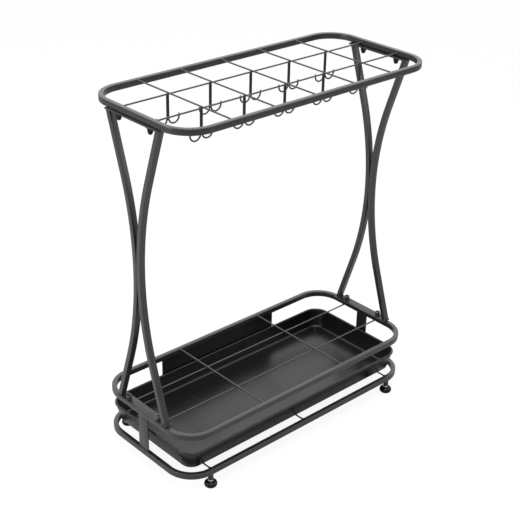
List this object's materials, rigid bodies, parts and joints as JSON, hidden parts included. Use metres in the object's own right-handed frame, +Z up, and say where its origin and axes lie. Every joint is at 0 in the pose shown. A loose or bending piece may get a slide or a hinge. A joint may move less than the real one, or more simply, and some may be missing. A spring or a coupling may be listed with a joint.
{
  "type": "umbrella stand",
  "caption": "Free-standing umbrella stand: wire-divided top ring with double hooks, bowed side legs, open basket ring, slide-out drip tray and round feet.",
  "frame": {"origin": "centre of the footprint, on the floor under the feet", "axes": "+X along the long side, +Y to the back, +Z up; the tray slides out to the front along -Y"},
  "size_m": [0.496, 0.2318, 0.584],
  "materials": {
    "frame_coat": "satin black powder coat",
    "leg_coat": "satin black powder coat",
    "plate_coat": "satin black powder coat",
    "wire_coat": "satin black powder coat",
    "tray_coat": "satin dark grey powder coat",
    "black_screws": "black oxide",
    "black_gloss_feet": "glossy moulded black",
    "zinc_studs": "dull zinc plate"
  },
  "bodies": {
    "stand": {"top_ring": "frame_coat", "top_long_wires": "wire_coat", "top_cross_wires": "wire_coat", "hook_back_1": "wire_coat", "hook_back_2": "wire_coat", "hook_back_3": "wire_coat", "hook_back_4": "wire_coat", "hook_back_5": "wire_coat", "hook_front_1": "wire_coat", "hook_front_2": "wire_coat", "hook_front_3": "wire_coat", "hook_front_4": "wire_coat", "hook_front_5": "wire_coat", "leg_left_front": "leg_coat", "leg_left_back": "leg_coat", "leg_right_front": "leg_coat", "leg_right_back": "leg_coat", "top_plate_left": "plate_coat", "top_plate_right": "plate_coat", "bottom_plate_left": "plate_coat", "bottom_plate_right": "plate_coat", "top_studs": "black_screws", "top_nuts": "black_screws", "top_flat_washers": "black_screws", "bottom_screws": "black_screws", "bottom_spring_washers": "black_screws", "bottom_flat_washers": "black_screws", "basket_ring": "frame_coat", "basket_long_wires": "wire_coat", "basket_cross_wires": "wire_coat", "base_ring": "frame_coat", "tray_rest_wires": "wire_coat", "strap_left": "frame_coat", "strap_right": "frame_coat", "back_panel": "frame_coat", "foot_balls": "black_gloss_feet", "foot_studs": "zinc_studs"},
    "tray": {"drip_tray": "tray_coat"}
  },
  "joints": [
    {"name": "tray_slide", "type": "slide", "parent": "stand", "child": "tray", "axis": [0, -1, 0], "range_m": [0, 0.225]}
  ]
}
